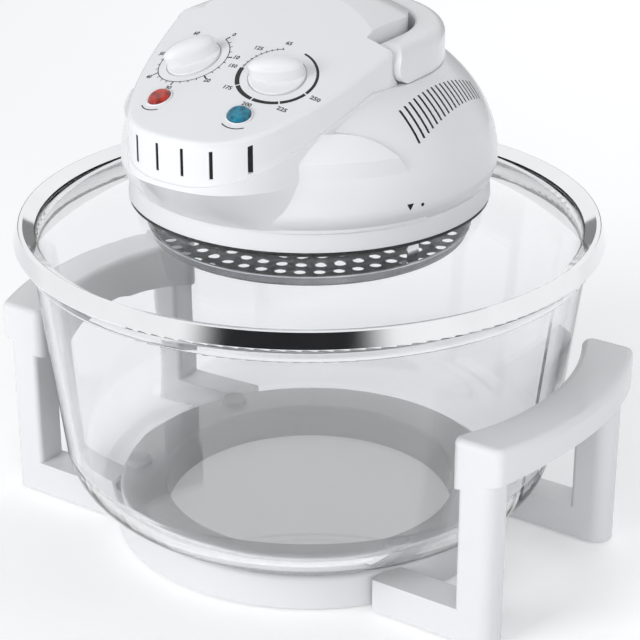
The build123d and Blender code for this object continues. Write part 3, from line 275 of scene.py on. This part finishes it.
# one row a slot of the record: how it is made, its colour and what else differs
recipes = {
    "white_plastic": (moulded, (0.83, 0.835, 0.85), dict(coat=0.25)),
    "grey_plastic": (moulded, (0.12, 0.125, 0.13), dict(rough=(0.4, 0.5), texture=0.1)),
    "terminal_plastic": (moulded, (0.78, 0.74, 0.6), dict(rough=(0.35, 0.5))),
    "red_plastic": (lens_material, (0.62, 0.03, 0.012), dict(deep=(0.09, 0.002, 0.001))),
    "blue_plastic": (lens_material, (0.0, 0.27, 0.4), dict(deep=(0.0, 0.035, 0.09))),
    "clear_glass": (clear, (0.958, 0.962, 0.968), dict(edge=0.8)),
    "lamp_glass": (clear, (0.95, 0.88, 0.8), dict(rough=(0.02, 0.05), scale=80.0)),
    "quartz_glass": (clear, (0.98, 0.98, 0.97), dict(rough=(0.0, 0.01), scale=60.0)),
    "clear_silicone": (
        clear, (0.93, 0.94, 0.95), dict(rough=(0.18, 0.26), ripple=0.05, ior=1.4, scale=60.0)
    ),
    "polished_steel": (metal, (0.86, 0.87, 0.88), dict(rough=(0.05, 0.1), scale=1800.0)),
    "plated_steel": (metal, (0.8, 0.81, 0.83), dict(rough=(0.08, 0.16), scale=1200.0)),
    "sheet_steel": (
        metal, (0.6, 0.61, 0.63), dict(rough=(0.25, 0.4), lines=0.1, stretch=(1, 12, 12))
    ),
    "screw_steel": (metal, (0.55, 0.56, 0.58), dict(rough=(0.2, 0.35), lines=0.06)),
    "lamination_steel": (
        metal,
        (0.3, 0.3, 0.32),
        dict(rough=(0.35, 0.5), lines=0.6, scale=900.0, stretch=(0.02, 0.02, 4)),
    ),
    "pan_aluminium": (metal, (0.84, 0.85, 0.87), dict(rough=(0.12, 0.22), lines=0.08)),
    "fan_aluminium": (metal, (0.76, 0.77, 0.79), dict(rough=(0.25, 0.35), lines=0.08)),
    "copper_winding": (
        metal,
        (0.6, 0.25, 0.12),
        dict(rough=(0.25, 0.35), lines=0.8, scale=900.0, stretch=(3, 0.05, 0.05)),
    ),
    "bearing_bronze": (metal, (0.6, 0.43, 0.24), dict(rough=(0.25, 0.4))),
    "bell_brass": (metal, (0.75, 0.58, 0.28), dict(rough=(0.12, 0.22))),
    "tungsten": (metal, (0.33, 0.32, 0.31), dict(rough=(0.4, 0.55), lines=0.2)),
    "grey_rubber": (matted, (0.2, 0.2, 0.21), dict()),
    "white_felt": (matted, (0.8, 0.79, 0.75), dict(rough=(0.9, 1.0), grain=1500.0, texture=0.8)),
    "ceramic_white": (
        matted, (0.85, 0.83, 0.79), dict(rough=(0.3, 0.45), shade=0.04, texture=0.06)
    ),
}
looks = {slot: make(slot, colour, **more) for slot, (make, colour, more) in recipes.items()}
INK = dict(rough=(0.5, 0.6), shade=0.3, texture=0.02)
print_black = matted("print_black", (0.008, 0.008, 0.009), **INK)
print_grey = matted("print_grey", (0.045, 0.045, 0.05), **INK)
# near-black: painted shade in the strips inside the vents and slots, and the ink of the printed
# side marks
painted_shade_and_print_black = matted("painted_shade_and_print_black", (0.006, 0.006, 0.007), rough=(0.7, 0.8), texture=0.05)
pale_silicone = matted(
    "pale_silicone", (0.86, 0.87, 0.89), rough=(0.35, 0.45), shade=0.03, texture=0.04
)

for row in frame["record"]["subparts"]:
    mesh = nodes[row["node"]].data
    mesh.materials.clear()
    mesh.materials.append(looks[row["material_slot"]])
nodes["guard"].data.materials[0] = guard_metal()
nodes["rest_pads"].data.materials[0] = pale_silicone


def add_piece(name, bm, material):
    """Turn a finished bmesh into a piece that rides on the head."""
    mesh = bpy.data.meshes.new(name)
    bm.to_mesh(mesh)
    bm.free()
    mesh.materials.append(material)
    piece = bpy.data.objects.new(name, mesh)
    link(piece)
    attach(piece, "head")
    return piece


# ---------------------------------------------------------------- printing on the control panel
PANEL_ANGLE = math.radians(23.0)
PANEL_CROWN_R = 220.0
FOLD_Y = -42.0
SHOULDER_Z = 291.1
CREST_Z = SHOULDER_Z + 24.5  # height of the panel's middle line at the fold
UP_THE_SLOPE = 1 / math.cos(PANEL_ANGLE)  # from y to the distance along the panel
KNOB_X, KNOB_Y = 27.5, -71.0
LAMP_X, LAMP_Y = 26.0, -103.0
PRINT_LIFT = 0.06
SAME_POINT = 1e-7  # metres


def crown_drop(x):
    """How far the crowned panel lies below its middle line, across its slope."""
    return PANEL_CROWN_R - math.sqrt(PANEL_CROWN_R**2 - x * x)


def crest_at(y):
    """Height of the panel's middle line."""
    return CREST_Z + math.tan(PANEL_ANGLE) * (y - FOLD_Y)


def on_panel(x, along, lift=PRINT_LIFT):
    """Point on the crowned panel: x across, along = distance up the slope from y = 0."""
    sine, cosine = math.sin(PANEL_ANGLE), math.cos(PANEL_ANGLE)
    y = along * cosine
    drop = crown_drop(x)
    tilt = math.asin(x / PANEL_CROWN_R)
    point = Vector((x, y + drop * sine, crest_at(y) - drop * cosine))
    normal = Vector((math.sin(tilt), -sine * math.cos(tilt), cosine * math.cos(tilt)))
    return (point + normal * lift) * MM


def printed(name, faces, material):
    """Thin print laid on the panel from flat faces given as (x, along) points."""
    bm = bmesh.new()
    for face in faces:
        bm.faces.new([bm.verts.new(on_panel(x, y)) for x, y in face])
    bmesh.ops.remove_doubles(bm, verts=bm.verts, dist=SAME_POINT)
    add_piece(name, bm, material)


def turned(angle):
    """Cosine and sine of an angle in degrees."""
    return math.cos(math.radians(angle)), math.sin(math.radians(angle))


def spread(low, high, count):
    """Evenly spaced numbers from low to high."""
    return [low + (high - low) * step / (count - 1) for step in range(count)]


def arc_faces(centre, radius, width, start, stop, steps_per_turn=140):
    """Faces of an arc; width is a number or a function of the angle in degrees."""
    steps = max(2, int(abs(stop - start) / 360 * steps_per_turn))
    rows = []
    for angle in spread(start, stop, steps + 1):
        half = (width(angle) if callable(width) else width) / 2
        c, s = turned(angle)
        edges = (radius - half, radius + half)
        rows.append([(centre[0] + r * c, centre[1] + r * s) for r in edges])
    return [[a[0], a[1], b[1], b[0]] for a, b in zip(rows, rows[1:])]


def tick_face(centre, angle, near, far, width):
    """One radial tick."""
    c, s = turned(angle)
    half = width / 2
    return [
        (centre[0] + r * c - side * half * s, centre[1] + r * s + side * half * c)
        for r, side in ((near, -1), (far, -1), (far, 1), (near, 1))
    ]


def number_faces(text, centre, size):
    """Flat faces of a short number, centred and read from the front of the panel."""
    curve = bpy.data.curves.new("number", "FONT")
    curve.body = text
    curve.size = size
    curve.align_x = "CENTER"
    curve.align_y = "CENTER"
    curve.resolution_u = 2
    curve.offset = 0.03 * size  # a little bolder than the plain font
    item = bpy.data.objects.new("number", curve)
    flat = bpy.data.meshes.new_from_object(item)
    points = [(centre[0] + vertex.co.x, centre[1] + vertex.co.y) for vertex in flat.vertices]
    faces = [[points[i] for i in polygon.vertices] for polygon in flat.polygons]
    bpy.data.objects.remove(item)
    bpy.data.curves.remove(curve)
    bpy.data.meshes.remove(flat)
    return faces


# timer: a ring with a tick every 2.5 minutes and a number every 10
TIMER_AT = (-KNOB_X, KNOB_Y * UP_THE_SLOPE)
TIMER_START, TIMER_TURN = 62.0, 300.0
TIMER_TICKS, TICKS_A_NUMBER, MINUTES_A_NUMBER = 25, 4, 10
TIMER_R, TIMER_LINE_W = 20.6, 0.5
MAIN_TICK_R, MAIN_TICK_W = 23.6, 0.9
SMALL_TICK_R, SMALL_TICK_W = 22.2, 0.5
TIMER_NUMBER_R, TIMER_NUMBER_SIZE = 26.0, 4.0
faces = arc_faces(TIMER_AT, TIMER_R, TIMER_LINE_W, TIMER_START, TIMER_START - TIMER_TURN)
for tick, angle in enumerate(spread(TIMER_START, TIMER_START - TIMER_TURN, TIMER_TICKS)):
    if tick % TICKS_A_NUMBER:
        faces.append(tick_face(TIMER_AT, angle, TIMER_R, SMALL_TICK_R, SMALL_TICK_W))
        continue
    faces.append(tick_face(TIMER_AT, angle, TIMER_R, MAIN_TICK_R, MAIN_TICK_W))
    c, s = turned(angle)
    place = (TIMER_AT[0] + TIMER_NUMBER_R * c, TIMER_AT[1] + TIMER_NUMBER_R * s)
    minutes = str(tick // TICKS_A_NUMBER * MINUTES_A_NUMBER)
    faces += number_faces(minutes, place, TIMER_NUMBER_SIZE)
printed("timer_scale", faces, print_black)

# heat: a broken line that swells as it runs down, then a thin one with small ticks
HEAT_AT = (KNOB_X, KNOB_Y * UP_THE_SLOPE)
HEAT_START, HEAT_TURN = 78.0, 255.0
HEAT_STOP = HEAT_START - HEAT_TURN
HEAT_R = 21.3
HEAT_LEAST_W, HEAT_SWELL = 1.2, 1.5
HEAT_GAP = 2.2  # degrees left open at the start of each length but the first
HEAT_BREAKS = (0.0, 0.36, 0.52, 0.68, 0.84, 1.0)  # shares of HEAT_TURN
HEAT_NUMBERS = {
    0.36: "250", 0.52: "225", 0.68: "200", 0.84: "175", 1.0: "150", 1.16: "125", 1.3: "65"
}
HEAT_NUMBER_RX, HEAT_NUMBER_RY, HEAT_NUMBER_SIZE = 27.5, 26.0, 3.8
HEAT_TICKS, HEAT_TICK_FIRST, HEAT_TICK_STEP = 9, 6.0, 8.0
HEAT_TICK_NEAR, HEAT_TICK_FAR, HEAT_FINE_W = 20.6, 22.4, 0.45
HEAT_FINE_TURN = 72.0


def heat_width(angle):
    """Width of the thick line at an angle."""
    return HEAT_LEAST_W + HEAT_SWELL * (HEAT_START - angle) / HEAT_TURN


faces = []
for first, last in zip(HEAT_BREAKS, HEAT_BREAKS[1:]):
    begin = HEAT_START - HEAT_TURN * first - (HEAT_GAP if first else 0.0)
    faces += arc_faces(HEAT_AT, HEAT_R, heat_width, begin, HEAT_START - HEAT_TURN * last)
printed("heat_scale", faces, print_black)

faces = []
for share, text in HEAT_NUMBERS.items():
    c, s = turned(HEAT_START - HEAT_TURN * share)
    place = (HEAT_AT[0] + HEAT_NUMBER_RX * c, HEAT_AT[1] + HEAT_NUMBER_RY * s)
    faces += number_faces(text, place, HEAT_NUMBER_SIZE)
for step in range(HEAT_TICKS):
    angle = HEAT_STOP - HEAT_TICK_FIRST - HEAT_TICK_STEP * step
    faces.append(tick_face(HEAT_AT, angle, HEAT_TICK_NEAR, HEAT_TICK_FAR, HEAT_FINE_W))
faces += arc_faces(HEAT_AT, HEAT_R, HEAT_FINE_W, HEAT_STOP, HEAT_STOP - HEAT_FINE_TURN)
printed("heat_marks", faces, print_grey)

# a short arc under each lamp, centred a little to the outside
LAMP_ARC_R, LAMP_ARC_W, LAMP_ARC_HALF = 10.2, 0.7, 38.0
faces = []
for x, middle in ((-LAMP_X, 262.0), (LAMP_X, 278.0)):
    centre = (x, LAMP_Y * UP_THE_SLOPE)
    faces += arc_faces(
        centre, LAMP_ARC_R, LAMP_ARC_W, middle - LAMP_ARC_HALF, middle + LAMP_ARC_HALF
    )
printed("lamp_marks", faces, print_black)


# ---------------------------------------------------------------- pale rings round the lamp lenses
BEZEL_IN, BEZEL_OUT, BEZEL_H = 6.3, 7.5, 0.9
BEZEL_SINK = 0.02  # how far its edges run into the panel
BEZEL_SWELL = 0.7  # below 1 the ring's back is fuller than a half ellipse
BEZEL_STEPS, BEZEL_SIDES = 56, 10


def bezel(name, x):
    """Low rounded ring that lies on the panel round one lens."""
    bm = bmesh.new()
    middle, half = (BEZEL_IN + BEZEL_OUT) / 2, (BEZEL_OUT - BEZEL_IN) / 2
    rings = []
    for step in range(BEZEL_STEPS):
        a = 2 * math.pi * step / BEZEL_STEPS
        ring = []
        for side in range(BEZEL_SIDES + 1):
            b = math.pi * side / BEZEL_SIDES
            r = middle - half * math.cos(b)
            height = BEZEL_H * math.sin(b) ** BEZEL_SWELL - BEZEL_SINK
            along = LAMP_Y * UP_THE_SLOPE + r * math.sin(a)
            ring.append(bm.verts.new(on_panel(x + r * math.cos(a), along, height)))
        rings.append(ring)
    for ring, following in zip(rings, rings[1:] + rings[:1]):
        for a, b, c, d in zip(ring, ring[1:], following[1:], following):
            bm.faces.new((a, b, c, d)).smooth = True
        bm.faces.new((ring[-1], ring[0], following[0], following[-1]))
    bmesh.ops.recalc_face_normals(bm, faces=bm.faces)
    add_piece(name, bm, looks["white_plastic"])


bezel("red_bezel", -LAMP_X)
bezel("blue_bezel", LAMP_X)


# ---------------------------------------------------------------- strips that follow the walls
HEAD_Z = 224.1  # the housing's bottom edge
RAY_BACK = 0.2  # metres from a point back to where its ray starts, clear of the head
STRIP_T = 0.4


def surface_of(node):
    """Tree for casting rays at a CAD node."""
    return BVHTree.FromObject(nodes[node], bpy.context.evaluated_depsgraph_get())


def strips(name, carrier, rows_of_each, towards, depth):
    """Dark strips cast on to a wall, their middle at a depth below its surface: painted shade
    inside the openings, or print.

    Each strip is a list of (left, right) points, and a pair that misses the wall is left out.
    """
    tree = surface_of(carrier)
    towards = Vector(towards)
    bm = bmesh.new()
    for rows in rows_of_each:
        grid = []
        for pair in rows:
            hits = [tree.ray_cast(Vector(p) * MM - towards * RAY_BACK, towards)[0] for p in pair]
            if None not in hits:
                grid.append([bm.verts.new(hit + towards * depth * MM) for hit in hits])
        for low, high in zip(grid, grid[1:]):
            bm.faces.new((low[0], low[1], high[1], high[0]))
    bmesh.ops.recalc_face_normals(bm, faces=bm.faces)
    # near-black: painted shade for strips inside openings, print for the side marks
    piece = add_piece(name, bm, painted_shade_and_print_black)
    thick = piece.modifiers.new("thickness", "SOLIDIFY")
    thick.thickness = STRIP_T * MM
    thick.offset = 0.0


# painted shade: near-black strips just inside the vents and the front slots stand for the shade in
# them; their sizes are the part's own
SHADE_STRIP_EDGE = 0.35  # how far a strip of painted shade runs into the wall beside its slit
SHADE_STRIP_DEPTH = 0.6
VENT_COUNT, VENT_PITCH, VENT_W, VENT_FIRST_Y = 18, 4.3, 1.7, -33.0
VENT_TOP = (63.0, -1.5, -6.5)  # height above the bottom edge: middle, tilt and bow
VENT_LOW = (51.0, 2.0, -7.0)
VENT_ROWS = 5
vents = []
for place in range(VENT_COUNT):
    y = VENT_FIRST_Y + place * VENT_PITCH
    t = 2 * place / (VENT_COUNT - 1) - 1
    low, high = (HEAD_Z + a + b * t + c * t * t for a, b, c in (VENT_LOW, VENT_TOP))
    reach = VENT_W / 2 + SHADE_STRIP_EDGE
    heights = spread(low - SHADE_STRIP_EDGE, high + SHADE_STRIP_EDGE, VENT_ROWS)
    vents.append([[(0.0, y - reach, z), (0.0, y + reach, z)] for z in heights])
# painted shade: near-black strips inside the vents on each side
strips("vent_painted_shade_left", "lower_housing", vents, (1.0, 0.0, 0.0), SHADE_STRIP_DEPTH)
strips("vent_painted_shade_right", "lower_housing", vents, (-1.0, 0.0, 0.0), SHADE_STRIP_DEPTH)

SLOT_COUNT, SLOT_PITCH, SLOT_W, SLOT_H, SLOT_BELOW = 6, 16.0, 1.9, 14.0, 4.0
SLOT_ROWS = 7
SLOT_FLOOR = 1.2  # least height of a slot above the pod's lower edge
NOSE_Y = -129.0
PROBE_Y, PROBE_DROP = -200.0, 13.0  # where the ray that finds the front wall starts
pod_surface = surface_of("control_pod")
nose_crest = crest_at(NOSE_Y)
slots = []
for place in range(SLOT_COUNT):
    x = (place - (SLOT_COUNT - 1) / 2) * SLOT_PITCH
    reach = SLOT_W / 2 + SHADE_STRIP_EDGE
    probe = Vector((x + reach, PROBE_Y, nose_crest - PROBE_DROP)) * MM
    wall_y = pod_surface.ray_cast(probe, Vector((0, 1, 0)))[0].y / MM
    lean = (wall_y - NOSE_Y) * math.sin(PANEL_ANGLE)
    top = nose_crest + (lean - crown_drop(x) - SLOT_BELOW) / math.cos(PANEL_ANGLE)
    pod_edge = SHOULDER_Z + math.tan(PANEL_ANGLE) * (wall_y - FOLD_Y)
    low = max(top - SLOT_H / math.cos(PANEL_ANGLE), pod_edge + SLOT_FLOOR)
    heights = spread(low, top + SHADE_STRIP_EDGE, SLOT_ROWS)
    slots.append([[(x - reach, 0.0, z), (x + reach, 0.0, z)] for z in heights])
# painted shade: near-black strips inside the front slots
strips("slot_painted_shade", "control_pod", slots, (0.0, 1.0, 0.0), SHADE_STRIP_DEPTH)

# a printed triangle and dot low on the housing's right side
MARK_Z = HEAD_Z + 11.0
MARK_R = 100.0  # near the wall; the rays find it exactly
MARK_PROUD = 0.1
TRIANGLE_AZIMUTH, TRIANGLE_W, TRIANGLE_H, TRIANGLE_ROWS = 64.0, 4.2, 3.6, 7
TRIANGLE_TIP = 1 - 6 / 6.2  # width of its tip as a share of its top
DOT_AZIMUTH, DOT_R, DOT_ROWS, DOT_TIP = 68.5, 1.0, 13, 0.03
MARK_AZIMUTH = math.radians((TRIANGLE_AZIMUTH + DOT_AZIMUTH) / 2)


def mark_rows(azimuth, rows):
    """(left, right) points on the housing's side for rows of (height, width) at one azimuth."""
    c, s = turned(azimuth)
    outward, across = Vector((s, -c, 0)), Vector((c, s, 0))
    spot = outward * MARK_R + Vector((0, 0, MARK_Z))
    pairs = []
    for z, w in rows:
        middle = spot + Vector((0, 0, z))
        pairs.append([middle + across * (side * w / 2) for side in (-1, 1)])
    return pairs


triangle = zip(
    spread(TRIANGLE_H / 2, -TRIANGLE_H / 2, TRIANGLE_ROWS),
    spread(TRIANGLE_W, TRIANGLE_W * TRIANGLE_TIP, TRIANGLE_ROWS),
)
dot = [
    (DOT_R * math.cos(a), 2 * DOT_R * max(math.sin(a), DOT_TIP))
    for a in spread(0.0, math.pi, DOT_ROWS)
]
strips(
    "side_marks",
    "lower_housing",
    [mark_rows(TRIANGLE_AZIMUTH, triangle), mark_rows(DOT_AZIMUTH, dot)],
    (-math.sin(MARK_AZIMUTH), math.cos(MARK_AZIMUTH), 0.0),
    STRIP_T / 2 - MARK_PROUD,
)


# ---------------------------------------------------------------- world and floor
def white_to_the_eye(tree, output, surface, white):
    """Camera, mirror and glass rays see the white; the rest see the surface."""
    ray = tree.nodes.new("ShaderNodeLightPath")
    eye = ray.outputs["Is Camera Ray"]
    for key in ("Is Glossy Ray", "Is Transmission Ray"):
        either = fed(tree, "ShaderNodeMath", eye, ray.outputs[key])
        either.operation = "MAXIMUM"
        eye = either.outputs[0]
    mix = fed(tree, "ShaderNodeMixShader", eye, surface, white)
    tree.links.new(mix.outputs[0], output.inputs["Surface"])


def background(tree, colour, strength):
    """Even light of the world."""
    node = tree.nodes.new("ShaderNodeBackground")
    node.inputs["Color"].default_value = rgba(colour)
    node.inputs["Strength"].default_value = strength
    return node.outputs[0]


WORLD_LIGHT = 0.4
world = bpy.data.worlds.new("studio")
bpy.context.scene.world = world
world.use_nodes = True
tree = world.node_tree
tree.nodes.clear()
soft = background(tree, (0.95, 0.97, 1.0), WORLD_LIGHT)
paper = background(tree, (1.0, 1.0, 1.0), 1.0)
white_to_the_eye(tree, tree.nodes.new("ShaderNodeOutputWorld"), soft, paper)

FLOOR_SIZE = 60.0
FLOOR_LIFT = 0.24  # white added for the eye alone, which leaves the shadow
WHITE_FROM, WHITE_BY = 0.7, 2.4  # distance from the oven over which the floor turns plain white
bpy.ops.mesh.primitive_plane_add(size=FLOOR_SIZE, location=(0.0, 0.0, 0.0))
floor = bpy.context.active_object
floor.name = "floor"
look = Nodes("floor")
look.tree.nodes.remove(look.shader)
paint = look.mix(look.noise(3.0), rgba((0.93, 0.93, 0.935)), rgba((0.95, 0.95, 0.955)))
matt = look.add("ShaderNodeBsdfDiffuse", Color=paint).outputs[0]
glow = look.add("ShaderNodeEmission", Strength=FLOOR_LIFT).outputs[0]
lit = fed(look.tree, "ShaderNodeAddShader", matt, glow).outputs[0]
distance = look.vector("LENGTH", look.place)["Value"]
fade = look.ramp(distance, WHITE_FROM, WHITE_BY, kind="SMOOTHSTEP")
plain_white = look.add("ShaderNodeEmission", Strength=1.0).outputs[0]
seen = fed(look.tree, "ShaderNodeMixShader", fade, lit, plain_white).outputs[0]
surface_output = next(n for n in look.tree.nodes if n.type == "OUTPUT_MATERIAL")
white_to_the_eye(look.tree, surface_output, matt, seen)
floor.data.materials.append(look.material)


# ---------------------------------------------------------------- lamps and cards
LAMP_AIM = (0.0, 0.0, 0.18)


def lamp(name, at, size, power):
    """Soft lamp aimed at the oven, which mirrors and glass don't show."""
    data = bpy.data.lights.new(name, "AREA")
    data.shape = "RECTANGLE"
    data.size, data.size_y = size
    data.energy = power
    item = bpy.data.objects.new(name, data)
    item.visible_glossy = False
    item.visible_transmission = False
    aim(item, at, LAMP_AIM)


lamp("key", (-0.6, -1.6, 0.95), (0.9, 0.9), 17.0)
lamp("fill", (1.1, -1.3, 0.75), (0.8, 0.8), 7.0)
lamp("side", (1.5, 0.5, 0.8), (0.8, 1.2), 3.0)
lamp("back", (-0.3, 1.5, 1.2), (1.2, 0.8), 8.0)

CARD_R = 1.7
CARD_STEPS = 48
FADE_FROM, FADE_TO = 0.45, 0.98  # shares of a card's half angle over which it thins out


def dark_card(name, azimuth, low, high, half_angle, cover=1.0):
    """Dark curved card that only mirrors see, as a photographer sets one up for chrome.

    Its middle stands at the azimuth, it reaches half_angle to each side, and its ends thin out.
    """
    points = []
    for angle in spread(azimuth - half_angle, azimuth + half_angle, CARD_STEPS + 1):
        c, s = turned(angle)
        points += [(CARD_R * s, -CARD_R * c, z) for z in (low, high)]
    faces = [(2 * i, 2 * i + 2, 2 * i + 3, 2 * i + 1) for i in range(CARD_STEPS)]
    mesh = bpy.data.meshes.new(name)
    mesh.from_pydata(points, [], faces)
    look = Nodes(name)
    c, s = turned(azimuth)
    ground = look.vector("NORMALIZE", look.ground_and_height()[0])["Vector"]
    cosine = look.vector("DOT_PRODUCT", ground, (s, -c, 0.0))["Value"]
    off_middle = fed(look.tree, "ShaderNodeMath", cosine)
    off_middle.operation = "ARCCOSINE"
    fade_from, fade_to = (math.radians(half_angle * share) for share in (FADE_FROM, FADE_TO))
    look.set(
        Base_Color=look.mix(look.noise(2.0), rgba((0.01, 0.01, 0.012)), rgba((0.02, 0.02, 0.022))),
        Roughness=1.0,
        Alpha=look.ramp(off_middle.outputs[0], fade_from, fade_to, cover, 0.0, "SMOOTHERSTEP"),
    )
    mesh.materials.append(look.material)
    card = bpy.data.objects.new(name, mesh)
    link(card)
    card.visible_camera = False
    card.visible_diffuse = False
    card.visible_transmission = False
    card.visible_shadow = False


dark_card("front_card", 27.0, 0.1, 1.15, 42.0)
dark_card("back_card", 214.0, 0.02, 0.6, 58.0, cover=0.75)

bpy.context.scene.view_settings.view_transform = "Standard"
